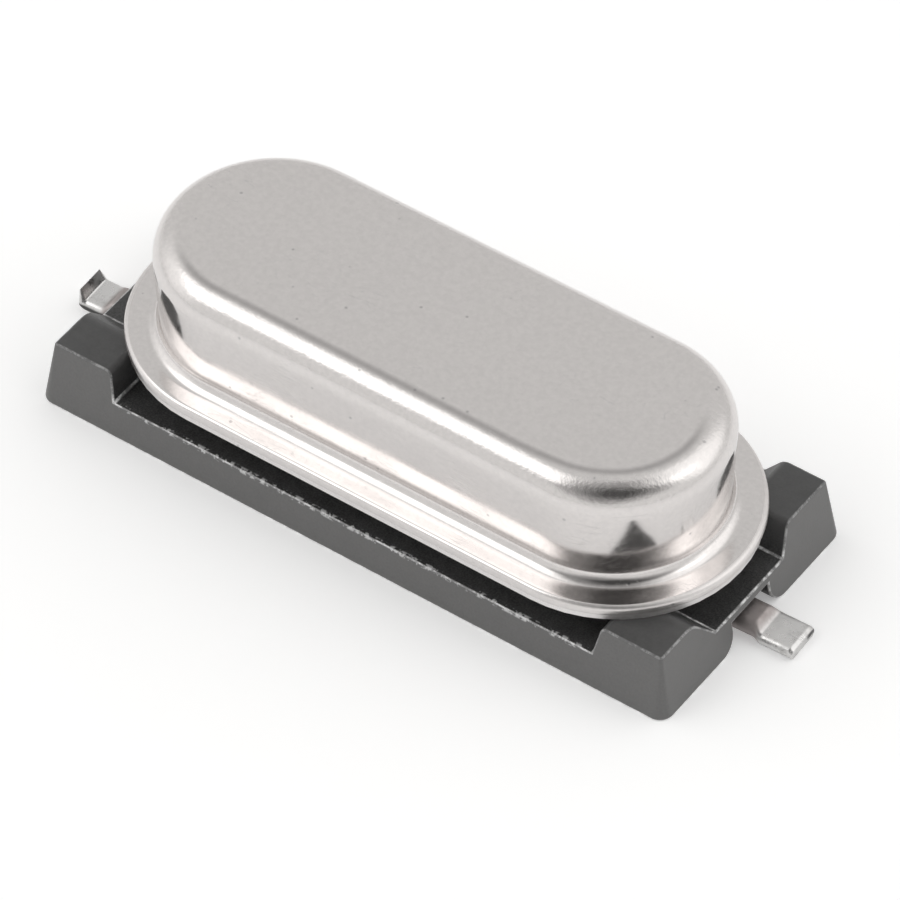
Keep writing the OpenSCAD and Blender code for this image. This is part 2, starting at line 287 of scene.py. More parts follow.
def paint_dark_line(tree, shader, place):
    """Paints a thin dark line along the top's edge, strongest at the front and the right end."""
    away, height = from_slot_line(tree, place)
    at = split(tree, place)
    right_end = remap(tree, at["X"], 2.4, 4.0, 0.0, 0.09, "SMOOTHSTEP")
    off_line = distance(tree, calc(tree, "ADD", away, right_end), line_at)
    line = remap(tree, off_line, 0.0, line_half, 1.0, 0.0, "SMOOTHSTEP")

    along = calc(tree, "SUBTRACT", at["X"], can_middle.x)
    end = product(tree, calc(tree, "SIGN", along),
                  past_straight(tree, calc(tree, "ABSOLUTE", along)))
    across = calc(tree, "SUBTRACT", at["Y"], can_middle.y)
    toward_front_right = calc(tree, "SUBTRACT", product(tree, end, 0.6), product(tree, across, 0.8))
    strength = remap(tree, toward_front_right, 0.1, 0.9, 0.0, LINE_DARK, "SMOOTHSTEP")
    on_top = calc(tree, "GREATER_THAN", height, can_top - shoulder)

    # The dark line is painted into the base colour.
    before = shader.inputs["Base Color"].links[0].from_socket
    darkened = blend_colour(tree, product(tree, line, strength, on_top), before, grey(0.0))
    tree.links.new(darkened, shader.inputs["Base Color"])


can_finish, *can_tree = plated_metal("plated_can", (0.785, 0.755, 0.742, 1.0), 0.12)
paint_dark_line(*can_tree)
header_finish = plated_metal("plated_header", (0.86, 0.84, 0.83, 1.0), 0.2, wear=0.6)[0]
print("finishes:", can_finish.name, header_finish.name)

# %% [markdown]
# The seat is moulded from a glass-filled plastic. It is matt and dark grey, with a
# fine grain from the mould. Its outer sides are painted paler, as painted light, and
# the plate is painted darker, as painted shade under the can. Handling rubs the edges
# and leaves chipping along the long rims of the plate; their pale colour is partly
# that wear and partly painted highlights where they catch the light.
#
# Two attributes that the mesh carries tell the finish where it is: "edge" is 1 along
# the crest of a rounded edge, and "side" is 1 on the outer sides. So the pale marks
# follow the real edges from any side.

# %% Moulded plastic
rim = (2.19, 2.28)      # the plate's rims, pale with chipping and painted highlights, from the seat's middle line
rim_half = 4.25         # half their length, between the corner blocks


def moulded_plastic(name):
    """Grained dark plastic with paler sides as painted light, the plate in painted shade, and pale
    edges and rims that are partly wear and partly painted highlights.
    """
    material, tree, shader, place = new_material(name)
    at = split(tree, place)
    height = at["Z"]
    grain = cloud(tree, place, 26.0, 3.0, 0.6)
    speckle = cloud(tree, place, 34.0, 2.0, 0.7)
    flow = cloud(tree, place, 0.7, 2.0)

    # Painted shade: the plate under the can is painted darker than the block tops, beneath a real
    # speckle.
    plate = blend_colour(tree, remap(tree, speckle, 0.4, 0.62, 0.0, 1.0), grey(0.018), grey(0.07))
    above_plate = remap(tree, height, plate_top + 0.05, plate_top + 0.4, 0.0, 1.0)
    top = blend_colour(tree, above_plate, plate, grey(0.07))
    # Painted light: the outer sides are painted paler than the tops and the plate.
    side = add(tree, "ShaderNodeAttribute", attribute_name="side").outputs["Fac"]
    body = blend_colour(tree, side, top, grey(0.17, 0.01))
    flow_marks = calc(tree, "MULTIPLY_ADD", cloud(tree, place, 4.5, 3.0, 0.65), 0.6,
                      product(tree, flow, 0.4))
    tinted = blend_colour(tree, remap(tree, flow_marks, 0.35, 0.65, 0.0, 0.28), body, grey(0.14))
    grainy = blend_colour(tree, remap(tree, grain, 0.3, 0.7, 0.14, 0.0), tinted, grey(0.0))

    # Pale edge crests: partly real rubbing and partly painted highlights where the rounds catch the
    # light, weaker on the plate.
    edge = add(tree, "ShaderNodeAttribute", attribute_name="edge").outputs["Fac"]
    specks = remap(tree, cloud(tree, place, 5.0, 5.0, 0.8), 0.45, 0.6, 0.22, 1.0)
    on_plate = remap(tree, height, plate_top + 0.05, plate_top + 0.15, 1.0, 0.4)
    worn = blend_colour(tree, product(tree, edge, specks, on_plate), grainy, grey(0.92))

    # Pale chipping along the plate's rims: partly real and partly painted highlights where the rims
    # catch the light.
    across_rim = between(tree, calc(tree, "ABSOLUTE", at["Y"]), *rim, 0.02)
    up_rim = between(tree, height, plate_top - 0.06, plate_top + 0.05, 0.02)
    along_rim = calc(tree, "LESS_THAN", calc(tree, "ABSOLUTE", at["X"]), rim_half)
    chips_and_glints = remap(tree, cloud(tree, place, 8.0, 2.0, 0.7), 0.52, 0.6, 0.0, 0.7)
    chipped_and_glinting = blend_colour(tree, product(tree, across_rim, up_rim, along_rim, chips_and_glints), worn,
                           grey(0.85))
    tree.links.new(chipped_and_glinting, shader.inputs["Base Color"])

    tree.links.new(remap(tree, grain, 0.3, 0.7, 0.36, 0.5), shader.inputs["Roughness"])
    shader.inputs["IOR"].default_value = 1.53
    relief = calc(tree, "ADD", product(tree, grain, 0.6), product(tree, speckle, 0.5))
    bump(tree, shader, relief, 0.003)
    return material


seat_finish = moulded_plastic("moulded_seat")
print("finish:", seat_finish.name)

# %% [markdown]
# The leads are tinned. Tin goes on as a melt and freezes with a slightly lumpy, very
# bright surface, and the press leaves it scuffed where the foot was flattened. Up to
# the step of the press mark, where the tool squeezed it thin, the tin is rougher, and
# it is painted dull and brownish: a painted reflection of the dark seat, and painted
# shade under the arch. The upright flanks of the foot are painted dark, a painted
# reflection of the shaded floor.

# %% Tinned wire
painted_neck_end = (5.84, 5.99)    # the press mark's step, where the painted dark, rougher neck ends, along X from the part's middle
flank_height = (0.06, 0.15)
flank_off = (0.24, 0.3)     # the flanks with their painted dark reflection, across from the leads' middle line


def tinned_wire(name):
    """Bright lumpy tin with scuffs and stains, rougher where the press worked it, with painted
    reflection and shade on its neck and flanks.
    """
    material, tree, shader, place = new_material(name)
    at = split(tree, place)
    lumps = cloud(tree, place, 6.0, 3.0)
    marks = calc(tree, "MAXIMUM", scratches(tree, place, 0.15, 16.0, 0.02),
                 scratches(tree, place, 1.5, 12.0, 0.02))
    stain = remap(tree, cloud(tree, place, 3.2, 4.0, 0.7), 0.52, 0.68, 0.0, 1.0)
    clean = blend_colour(tree, marks, grey(0.72, 0.01), grey(0.42))
    dirty = blend_colour(tree, product(tree, stain, 0.5), clean, grey(0.33, 0.03))

    # Painted reflection and shade: the neck is painted dull brownish, standing in for the
    # reflection of the dark seat and the shade under the arch. It is rougher there too.
    neck = remap(tree, calc(tree, "ABSOLUTE", at["X"]), *painted_neck_end, 1.0, 0.0, "SMOOTHSTEP")
    darkened = blend_colour(tree, product(tree, neck, 0.75), dirty, (0.36, 0.31, 0.30, 1.0))
    # Painted reflection: the upright flanks of the foot are painted dark, standing in for the
    # reflection of the shaded floor.
    painted_flank_reflection = product(tree, between(tree, at["Z"], *flank_height, 0.02),
                    remap(tree, distance(tree, at["Y"], can_middle.y), *flank_off, 0.0, 1.0))
    with_painted_flank_reflection = blend_colour(tree, product(tree, painted_flank_reflection, 0.92), darkened, grey(0.03))
    tree.links.new(with_painted_flank_reflection, shader.inputs["Base Color"])
    shader.inputs["Metallic"].default_value = 1.0

    satin = remap(tree, lumps, 0.3, 0.7, 0.22, 0.38)
    tree.links.new(calc(tree, "MULTIPLY_ADD", neck, 0.22, satin), shader.inputs["Roughness"])
    bump(tree, shader, calc(tree, "SUBTRACT", lumps, product(tree, marks, 0.4)), 0.006)
    return material


lead_finish = tinned_wire("tinned_lead")
print("finish:", lead_finish.name)

# %% [markdown]
# The pieces sealed inside never show from outside, but they are real pieces, so each
# has the finish that a repairer would see on opening the can: green sealing glass,
# thin spring strip, clear lapped quartz, a silver film and a grey adhesive.

# %% Finishes inside the can


def plain_piece(name, colour, metallic, roughness, grain_scale, depth_mm, transmission=0.0):
    """A simple finish whose tone, roughness and height follow one fine grain."""
    material, tree, shader, place = new_material(name)
    grain = cloud(tree, place, grain_scale, 3.0)
    tone = blend_colour(tree, remap(tree, grain, 0.3, 0.7, 0.0, 1.0), shaded(colour, 0.85), colour)
    tree.links.new(tone, shader.inputs["Base Color"])
    satin = remap(tree, grain, 0.3, 0.7, roughness * 0.8, roughness * 1.2)
    tree.links.new(satin, shader.inputs["Roughness"])
    shader.inputs["Metallic"].default_value = metallic
    shader.inputs["Transmission Weight"].default_value = transmission
    bump(tree, shader, grain, depth_mm)
    return material


inner_finishes = {
    "glass_seal": plain_piece("sealing_glass", (0.10, 0.19, 0.15, 1), 0.0, 0.12, 5.0, 0.002, 0.3),
    "spring_clip": plain_piece("spring_strip", (0.70, 0.67, 0.60, 1), 1.0, 0.22, 12.0, 0.001),
    "quartz_blank": plain_piece("lapped_quartz", (0.93, 0.95, 0.96, 1), 0.0, 0.25, 20.0, 0.0005,
                                0.85),
    "electrode": plain_piece("silver_film", (0.88, 0.86, 0.82, 1), 1.0, 0.18, 16.0, 0.0005),
    "adhesive": plain_piece("silver_adhesive", (0.42, 0.42, 0.43, 1), 0.3, 0.5, 10.0, 0.004),
}


def give_finish(piece, material):
    """Makes one material the only one of an object."""
    piece.data.materials.clear()
    piece.data.materials.append(material)


for node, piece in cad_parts.items():
    for start, material in inner_finishes.items():
        if node.startswith(start):
            give_finish(piece, material)
            print(node, "->", material.name)
give_finish(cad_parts["header"], header_finish)

# %% [markdown]
# ## The can: one section carried round a slot
# A drawn can is a section swept round a slot-shaped outline: two half turns joined by
# straight runs. The section is easy to draw by hand, and the sweep follows a rule, so
# the section is made in Python and Geometry Nodes carry it round.
#
# The outside has the small forms that the drawing die leaves. The sheet gets thinner
# on the way down, so the wall comes in by a third of the sheet's thickness, and it
# turns out into the flange through a soft fillet. The flange's upper edge is rolled.
# The inside stays as it is on the solid. On bright metal such slight slopes decide
# which part of the sky each band shows, so they are worth drawing.
#
# Each point of the section holds its distance from the slot's middle line (X), its
# height (Z), and half the straight run it travels along (Y). That last one lets the
# flange have slightly longer straights than the wall, as it has on the solid.

# %% Section of the can


def arc(x, z, radius, start, stop, steps):
    """Points along an arc, angles in degrees."""
    turn = [math.radians(start + (stop - start) * i / steps) for i in range(steps + 1)]
    return [(x + radius * math.cos(a), z + radius * math.sin(a)) for a in turn]


def run(first, last, steps):
    """Points between two corners, without the corners themselves."""
    return [tuple(a + (b - a) * i / steps for a, b in zip(first, last)) for i in range(1, steps)]


def can_section():
    """Open section from the middle line over the outside, and back along the inside."""
    floor = flange_bottom + sheet
    foot_x = wall_r - wall_lean + foot_fillet
    bend_x, bend_z = wall_r - shoulder, can_top - shoulder
    inside_bend = flat_from - wall_r + sheet
    # Each curve, with the number of steps of the straight run that leads to it
    curves = (
        (0, [(0.0, can_top)]),
        (10, arc(bend_x, bend_z, shoulder, 90, 0, 20)),
        (10, arc(foot_x, floor + foot_fillet, foot_fillet, 180, 270, 12)),
        (5, arc(flange_r - flange_edge, floor - flange_edge, flange_edge, 90, 0, 8)),
        (3, arc(flange_r - burr, flange_bottom + burr, burr, 0, -90, 4)),
        (4, arc(flat_from, flange_bottom + inside_bend, inside_bend, 270, 180, 6)),
        (3, arc(bend_x, bend_z, shoulder - sheet, 0, 90, 6)),
        (3, [(0.0, can_top - sheet)]),
    )
    points = []
    for steps, curve in curves:
        if points:
            points += run(points[-1], curve[0], steps)
        points += curve
    return points


section = can_section()
print("section points:", len(section))

# %% [markdown]
# Now the sweep. The tree makes a grid with one column for each section point and one
# row for each step round the slot, then moves every grid point to where the section
# point stands at that step. Four clamped ramps share out the steps: half a turn, a
# straight, half a turn, a straight. Merging by distance closes the seam. Last, a very
# slight waviness pushes the skin in and out, because drawn sheet is never quite flat.

# %% Geometry Nodes: carry a section round a slot
SEAM = 1e-7     # points closer than this many metres are joined


def slot_sweep_tree():
    """The node group that carries a section round a slot."""
    tree = bpy.data.node_groups.new("carry_round_slot", "GeometryNodeTree")
    ports = tree.interface
    for name, kind in (("Section", "NodeSocketGeometry"),
                       ("Turn steps", "NodeSocketInt"), ("Straight steps", "NodeSocketInt"),
                       ("Middle", "NodeSocketVector"), ("Waviness", "NodeSocketFloat"),
                       ("Wave size", "NodeSocketFloat"), ("Material", "NodeSocketMaterial")):
        ports.new_socket(name, in_out="INPUT", socket_type=kind)
    ports.new_socket("Shell", in_out="OUTPUT", socket_type="NodeSocketGeometry")
    given = add(tree, "NodeGroupInput").outputs
    turn, straight = given["Turn steps"], given["Straight steps"]

    count = add(tree, "GeometryNodeAttributeDomainSize",
                {"Geometry": given["Section"]}).outputs["Point Count"]
    lap = calc(tree, "ADD", product(tree, turn, 2), product(tree, straight, 2))
    grid = add(tree, "GeometryNodeMeshGrid", {"Size X": 1.0, "Size Y": 1.0, "Vertices Y": count,
                                              "Vertices X": calc(tree, "ADD", lap, 1)})
    number = add(tree, "GeometryNodeInputIndex").outputs[0]
    step = calc(tree, "FLOOR", calc(tree, "DIVIDE", number, count))
    point = calc(tree, "MODULO", number, count)

    spot = add(tree, "GeometryNodeSampleIndex", {"Geometry": given["Section"], "Index": point},
               data_type="FLOAT_VECTOR")
    tree.links.new(add(tree, "GeometryNodeInputPosition").outputs[0], spot.inputs["Value"])
    drawn = split(tree, spot.outputs["Value"])

    def ramp(first, length):
        """0 before a stretch of steps, 1 after it, and a straight ramp along it."""
        return calc(tree, "DIVIDE", calc(tree, "SUBTRACT", step, first), length, clamp=True)

    after_turn = calc(tree, "ADD", turn, straight)
    after_half = calc(tree, "ADD", after_turn, turn)
    half_turns = calc(tree, "ADD", ramp(0, turn), ramp(after_turn, turn))
    angle = product(tree, calc(tree, "SUBTRACT", half_turns, 0.5), math.pi)
    shift = calc(tree, "SUBTRACT", ramp(after_half, straight), ramp(turn, straight))
    along = calc(tree, "MULTIPLY_ADD", shift, 2.0, 1.0)
    x = calc(tree, "MULTIPLY_ADD", drawn["X"], calc(tree, "COSINE", angle),
             product(tree, along, drawn["Y"]))
    y = product(tree, drawn["X"], calc(tree, "SINE", angle))
    place = add(tree, "ShaderNodeCombineXYZ", {"X": x, "Y": y, "Z": drawn["Z"]}).outputs[0]
    centred = add(tree, "ShaderNodeVectorMath", {0: place, 1: given["Middle"]}, operation="ADD")
    swept = add(tree, "GeometryNodeSetPosition", {"Geometry": grid.outputs["Mesh"],
                                                  "Position": centred.outputs[0]})
    closed = add(tree, "GeometryNodeMergeByDistance", {"Geometry": swept.outputs[0],
                                                       "Distance": SEAM})

    lumps = add(tree, "ShaderNodeTexNoise", {"Scale": given["Wave size"], "Detail": 1.0})
    size = product(tree, calc(tree, "SUBTRACT", lumps.outputs["Fac"], 0.5), given["Waviness"])
    outward = add(tree, "GeometryNodeInputNormal").outputs[0]
    push = add(tree, "ShaderNodeVectorMath", {0: outward, "Scale": size}, operation="SCALE")
    wavy = add(tree, "GeometryNodeSetPosition", {"Geometry": closed.outputs[0],
                                                 "Offset": push.outputs[0]})
    smooth = add(tree, "GeometryNodeSetShadeSmooth", {"Geometry": wavy.outputs[0],
                                                      "Shade Smooth": True})
    real = add(tree, "GeometryNodeRealizeInstances", {"Geometry": smooth.outputs[0]})
    done = add(tree, "GeometryNodeSetMaterial", {"Geometry": real.outputs[0],
                                                 "Material": given["Material"]})
    add(tree, "NodeGroupOutput", {"Shell": done.outputs[0]})
    return tree


slot_sweep = slot_sweep_tree()
print("tree:", slot_sweep.name, "with", len(slot_sweep.nodes), "nodes")

# %% [markdown]
# A modifier's inputs are set by the identifier of each socket, before the object is
# first evaluated. The result is then turned into a plain mesh on a new object, and
# the object that carried the tree is deleted.

# %% Run the tree on the section
WAVES_PER_METRE = 900.0


def new_object(name, data):
    """An object for a mesh or a camera, linked to the scene."""
    piece = bpy.data.objects.new(name, data)
    bpy.context.scene.collection.objects.link(piece)
    return piece


def set_inputs(modifier, values):
    """Fills a Geometry Nodes modifier's inputs by name."""
    for item in modifier.node_group.interface.items_tree:
        if item.item_type == "SOCKET" and item.in_out == "INPUT" and item.name in values:
            modifier[item.identifier] = values[item.name]


def settle(carrier, name):
    """The evaluated shape of an object as a new plain mesh object. The carrier is deleted."""
    graph = bpy.context.evaluated_depsgraph_get()
    mesh = bpy.data.meshes.new_from_object(carrier.evaluated_get(graph), depsgraph=graph)
    mesh.name = name
    bpy.data.objects.remove(carrier)
    return new_object(name, mesh)


def face_outwards(piece):
    """Recalculates the normals of a closed mesh so that its faces point out."""
    shape = bmesh.new()
    shape.from_mesh(piece.data)
    bmesh.ops.recalc_face_normals(shape, faces=shape.faces)
    shape.to_mesh(piece.data)
    shape.free()


def sweep(name, points, half_run, middle, turn_steps, straight_steps, waviness, material):
    """Carries section points (in mm) round a slot and returns the finished shell."""
    mesh = bpy.data.meshes.new(name + "_section")
    placed = [(x * MM, half_run(x) * MM, z * MM) for x, z in points]
    mesh.from_pydata(placed, [(i, i + 1) for i in range(len(placed) - 1)], [])
    carrier = new_object(name + "_section", mesh)
    modifier = carrier.modifiers.new("sweep", "NODES")
    modifier.node_group = slot_sweep
    set_inputs(modifier, {"Turn steps": turn_steps, "Straight steps": straight_steps,
                          "Middle": (middle.x * MM, middle.y * MM, 0.0),
                          "Waviness": waviness * MM, "Wave size": WAVES_PER_METRE,
                          "Material": material})
    piece = settle(carrier, name)
    face_outwards(piece)
    return piece


def half_run_at(x):
    """Half the straight run: the wall's, easing to the flange's past the wall's foot."""
    share = (x - flat_from) / (flange_r - flat_from)
    return wall_half + (flange_half - wall_half) * min(max(share, 0.0), 1.0)


can_shell = sweep("can_shell", section, half_run_at, can_middle, turn_steps=56,
                  straight_steps=60, waviness=0.004, material=can_finish)
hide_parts("can")
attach(can_shell, "root")
print("can faces:", len(can_shell.data.polygons))

# %% [markdown]
# ## The moulded seat
# The solid has every form of the seat already: the leaning sides, the four corner
# blocks, the plate, the grooves and the arches. What it lacks is the soft edge that
# every moulding has. A copy of its mesh is welded and cleaned into whole faces, and a
# Bevel modifier rounds the edges that weights choose. The thin wedges beside the lead
# arches have no weight, because a round there would push the underside out.
#
# Two things follow. The flat faces get flat normals, so that only the rounds shade
# round. And the "edge" and "side" attributes that the finish reads are stored, from
# the material that the bevel gives its own faces and from where each face looks.

# %% Seat with moulded edges
edge_round = 0.036                  # mm
SHARP = math.radians(28)            # edges sharper than this are rounded
SMALLEST_FLAT = (0.15 * MM) ** 2    # faces larger than this keep flat normals
ROUNDED = 1                         # material index that marks the bevel's own faces
# Where the wedges beside the lead arches are: along X, across Y and up Z, in mm
wedge = ((5.15, 5.25), (0.42, 0.82), (-0.1, 0.12))


def welded_copy(node, name):
    """A copy of a solid's mesh with its triangles joined into whole flat faces."""
    shape = bmesh.new()
    shape.from_mesh(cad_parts[node].data)
    bmesh.ops.remove_doubles(shape, verts=shape.verts, dist=SEAM)
    bmesh.ops.dissolve_limit(shape, angle_limit=math.radians(0.5), verts=shape.verts,
                             edges=shape.edges)
    mesh = bpy.data.meshes.new(name)
    shape.to_mesh(mesh)
    shape.free()
    return new_object(name, mesh)


def beside_lead_arch(point):
    """True at the wedges where the arch over each lead meets the underside."""
    off = (abs(point.x), abs(point.y), point.z)
    return all(low < value / MM < high for value, (low, high) in zip(off, wedge))


def choose_edges_to_round(mesh):
    """Weighs the sharp edges for the bevel, and leaves out the wedges beside the arches."""
    shape = bmesh.new()
    shape.from_mesh(mesh)
    weight = shape.edges.layers.float.new("bevel_weight_edge")
    for edge in shape.edges:
        sharp = edge.calc_face_angle(0) > SHARP
        edge[weight] = float(sharp and not any(beside_lead_arch(v.co) for v in edge.verts))
    shape.to_mesh(mesh)
    shape.free()


def keep_flats_flat(mesh):
    """Gives each corner that touches a large flat face the normal of the largest one."""
    best = {}
    for face in mesh.polygons:
        if face.material_index != ROUNDED and face.area > SMALLEST_FLAT:
            for v in face.vertices:
                if v not in best or face.area > best[v].area:
                    best[v] = face
    normals = [tuple(corner.vector) for corner in mesh.corner_normals]
    for face in mesh.polygons:
        for corner, v in zip(face.loop_indices, face.vertices):
            if v in best:
                normals[corner] = tuple(best[v].normal)
    mesh.normals_split_custom_set(normals)


def mark_surfaces(mesh):
    """Stores "edge" and "side", and puts every face back on the first material.

    "edge" is 1 along the crest of each rounded edge and 0 where it meets a flat face.
    "side" is 1 on upright faces that look outwards and 0 on tops and inner slopes.
    """
    on_flat = set()
    for face in mesh.polygons:
        if face.material_index != ROUNDED:
            on_flat.update(face.vertices)
    edge = mesh.attributes.new("edge", "FLOAT", "CORNER")
    side = mesh.attributes.new("side", "FLOAT", "FACE")
    for face in mesh.polygons:
        outwards = face.normal.xy.dot(face.center.xy) > 0
        upright = min(max(1.4 - 2 * abs(face.normal.z), 0.0), 1.0)
        side.data[face.index].value = outwards * upright
        for corner, v in zip(face.loop_indices, face.vertices):
            edge.data[corner].value = float(face.material_index == ROUNDED and v not in on_flat)
        face.material_index = 0
    crests = sum(1 for item in edge.data if item.value > 0)
    print("corners on crests:", crests, "of", len(edge.data))


def moulded_seat():
    """The seat's solid with its edges rounded and its surfaces marked."""
    carrier = welded_copy("insulator", "seat_draft")
    for _ in range(ROUNDED + 1):
        carrier.data.materials.append(seat_finish)
    choose_edges_to_round(carrier.data)
    rounding = carrier.modifiers.new("moulded_edges", "BEVEL")
    rounding.width = edge_round * MM
    rounding.segments = 3
    rounding.limit_method = "WEIGHT"
    rounding.use_clamp_overlap = False
    rounding.material = ROUNDED
    for face in carrier.data.polygons:
        face.use_smooth = True
    piece = settle(carrier, "seat")
    keep_flats_flat(piece.data)
    mark_surfaces(piece.data)
    piece.data.materials.pop()
    return piece


seat = moulded_seat()
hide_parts("insulator")
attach(seat, "root")
print("seat faces:", len(seat.data.polygons))

# %% [markdown]
# ## The leads
# Each lead is one round wire. It comes down from the can and turns out under the seat.
# There a press first squeezes it, and then flattens it into a foot, so the wire keeps
# its metal and only changes its section. That makes a loft the right tool: the skin
# passes through sections along the path, and easing from one size to the next gives
# the slopes that a press tool leaves.

# %% Sections along a lead
wire = 0.43                 # diameter of the round wire
lead_pitch = 4.88           # between the two leads where they leave the can
foot_width = 0.66
foot_thickness = 0.21
bend = 0.45                 # radius of the bend, at the wire's middle
nail_width = 0.76           # the flat head inside the can
nail_thickness = 0.12
tip_to_tip = 12.88
feet_shift = 0.07           # how far the middle between the tips sits to the right
squeeze = (5.2, 5.45)       # where the press first squeezes the round wire
root = (0.58, 0.33)         # width and thickness after that
press_mark = (5.8, 5.96)    # where the wire steps down to the flat foot
tip_bevel = (0.05, 0.04)    # length and drop of the right tip's sheared edge
lip_back = 0.15             # where the left tip's lip begins, back from the tip
AROUND = 64                 # points in each section
RIGHT_ANGLE = math.pi / 2


def lead_section(x, z, theta, width, thickness):
    """Points of a round-sided section across the path. Theta is a right angle on the foot."""
    points = []
    for k in range(AROUND):
        a = 2 * math.pi * (k + 0.5) / AROUND
        half_flat = math.copysign((width - thickness) / 2, math.cos(a))
        across = half_flat + thickness / 2 * math.cos(a)
        up = thickness / 2 * math.sin(a) / math.cos(math.pi / AROUND)
        points.append(Vector((x + up * math.cos(theta), across, z + up * math.sin(theta))))
    return points


def ease(u):
    """Goes from 0 to 1 with level ends."""
    return u * u * (3 - 2 * u)


def pressed(start, finish, first, last, steps):
    """Sections that ease one width and thickness into another along the board."""
    rings = []
    for i in range(steps + 1):
        u = i / steps
        width, thickness = (a + (b - a) * ease(u) for a, b in zip(first, last))
        x = start + u * (finish - start)
        rings.append(lead_section(x, thickness / 2, RIGHT_ANGLE, width, thickness))
    return rings


def level_run(start, finish, size, steps):
    """Equal sections between two places, without the first and the last."""
    return pressed(start, finish, size, size, steps)[1:-1]


def upright(top):
    """Nail head, straight wire and bend."""
    low = top - nail_thickness
    corner = bend + wire / 2
    head = ((top, nail_width - 0.16), (top, nail_width - 0.04), (top - 0.02, nail_width),
            (low + 0.02, nail_width), (low, nail_width - 0.04), (low, wire))
    rings = [lead_section(0, z, 0, d, d) for z, d in head]
    for i in range(1, 12):
        rings.append(lead_section(0, low + (corner - low) * i / 12, 0, wire, wire))
    for i in range(17):
        a = RIGHT_ANGLE * i / 16
        x, z = bend * (1 - math.cos(a)), corner - bend * math.sin(a)
        rings.append(lead_section(x, z, a, wire, wire))
    return rings


print("developed length of the bend:", round(bend * RIGHT_ANGLE, 2), "mm")

# %% [markdown]
# The two tips differ, as two cuts of a worn tool do. The right one is sheared square,
# with its top edge bevelled. The left one was pinched off, which left a thin lip
# standing up. It is drawn as two lines seen from the side, the inner face with its
# fold and the outer face with its heel, and each section spans from one to the other.

# %% Tips and skin
lip_lean = math.radians(65)
lip_fold = 0.05                                     # radius inside, where the lip rises
lip_heel = 0.07                                     # radius outside
lip_top = ((-0.0252, 0.395), (-0.0048, 0.355))      # last point of each line, from the tip
lip_narrowing = 0.14                                # how much narrower the lip's edge is
ROUND_STEPS, RISE_STEPS = 8, 6


def lip_lines():
    """Points of the lip's two faces, seen from the side, from the flat up to its edge."""
    inner, outer = [], []
    for i in range(ROUND_STEPS + 1):
        share = i / ROUND_STEPS
        a = lip_lean * share
        inner.append((-lip_back + lip_fold * math.sin(a),
                      foot_thickness + lip_fold * (1 - math.cos(a))))
        turn = RIGHT_ANGLE * (1 - share)
        outer.append((lip_heel * (math.cos(turn) - 1) - (lip_back - lip_heel) * (1 - share),
                      lip_heel * (1 - math.sin(turn))))
    for line, last in zip((inner, outer), lip_top):
        line += run(line[-1], last, RISE_STEPS) + [last]
    return inner, outer


def lipped_tip(tip):
    """Last sections of the left lead, up to the lip's edge."""
    rings = []
    for i, (upper, lower) in enumerate(zip(*lip_lines())):
        x, z = ((a + b) / 2 for a, b in zip(upper, lower))
        across = Vector((upper[0] - lower[0], upper[1] - lower[1]))
        narrowing = lip_narrowing * max(i - ROUND_STEPS, 0) / RISE_STEPS
        rings.append(lead_section(tip + x, z, math.atan2(across.y, across.x),
                                  foot_width - narrowing, across.length))
    return rings


def bevelled_tip(tip):
    """Last sections of the right lead, down its sheared edge."""
    length, drop = tip_bevel
    return [lead_section(tip - length * (1 - u), (foot_thickness - drop * u) / 2, RIGHT_ANGLE,
                         foot_width - 0.02 * u, foot_thickness - drop * u)
            for u in (0, 0.3, 0.7, 1)]


def lead_rings(top, post, tip, side):
    """Sections from the nail head to the tip. Distances along X are from the upright."""
    press_on, press_off = (x - post for x in squeeze)
    mark_on, mark_off = (x - post for x in press_mark)
    round_wire, foot = (wire, wire), (foot_width, foot_thickness)
    end = lipped_tip(tip) if side < 0 else bevelled_tip(tip)
    end_from = tip - (lip_back if side < 0 else tip_bevel[0])
    return (upright(top)
            + level_run(bend, press_on, round_wire, 20)
            + pressed(press_on, press_off, round_wire, root, 10)
            + level_run(press_off, mark_on, root, 16)
            + pressed(mark_on, mark_off, root, foot, 10)
            + level_run(mark_off, end_from, foot, 20)
            + end)


def loft(name, rings, to_place):
    """A closed skin over rings of points, placed by a matrix and turned into an object."""
    mesh = bpy.data.meshes.new(name)
    points = [to_place @ p * MM for ring in rings for p in ring]
    faces = [tuple(range(AROUND - 1, -1, -1))]
    for j in range(len(rings) - 1):
        here, beyond = j * AROUND, (j + 1) * AROUND
        for k in range(AROUND):
            n = (k + 1) % AROUND
            faces.append((here + k, here + n, beyond + n, beyond + k))
    faces.append(tuple((len(rings) - 1) * AROUND + k for k in range(AROUND)))
    mesh.from_pydata(points, [], faces)
    piece = new_object(name, mesh)
    face_outwards(piece)
    return piece


def make_lead(node, side, turn_degrees):
    """One lead in its place: side is -1 for left and 1 for right."""
    top = box_mm(node)[1].z
    post = lead_pitch / 2 + side * can_middle.x
    turn = math.radians(turn_degrees)
    out = tip_to_tip / 2 + side * feet_shift
    tip = (out - post - foot_width / 2 * math.sin(abs(turn))) / math.cos(turn)
    to_place = (Matrix.Translation((side * post, can_middle.y, 0))
                @ Matrix.Diagonal((side, 1, 1, 1)) @ Matrix.Rotation(turn, 4, "Z"))
    piece = loft(node + "_skin", lead_rings(top, post, tip, side), to_place)
    piece.data.shade_smooth()
    piece.data.set_sharp_from_angle(angle=math.radians(40))
    give_finish(piece, lead_finish)
    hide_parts(node)
    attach(piece, "root")
    print(piece.name, "faces:", len(piece.data.polygons), "tip at", round(side * out, 2), "mm")


make_lead("lead_left", -1, -2)
make_lead("lead_right", 1, 2)

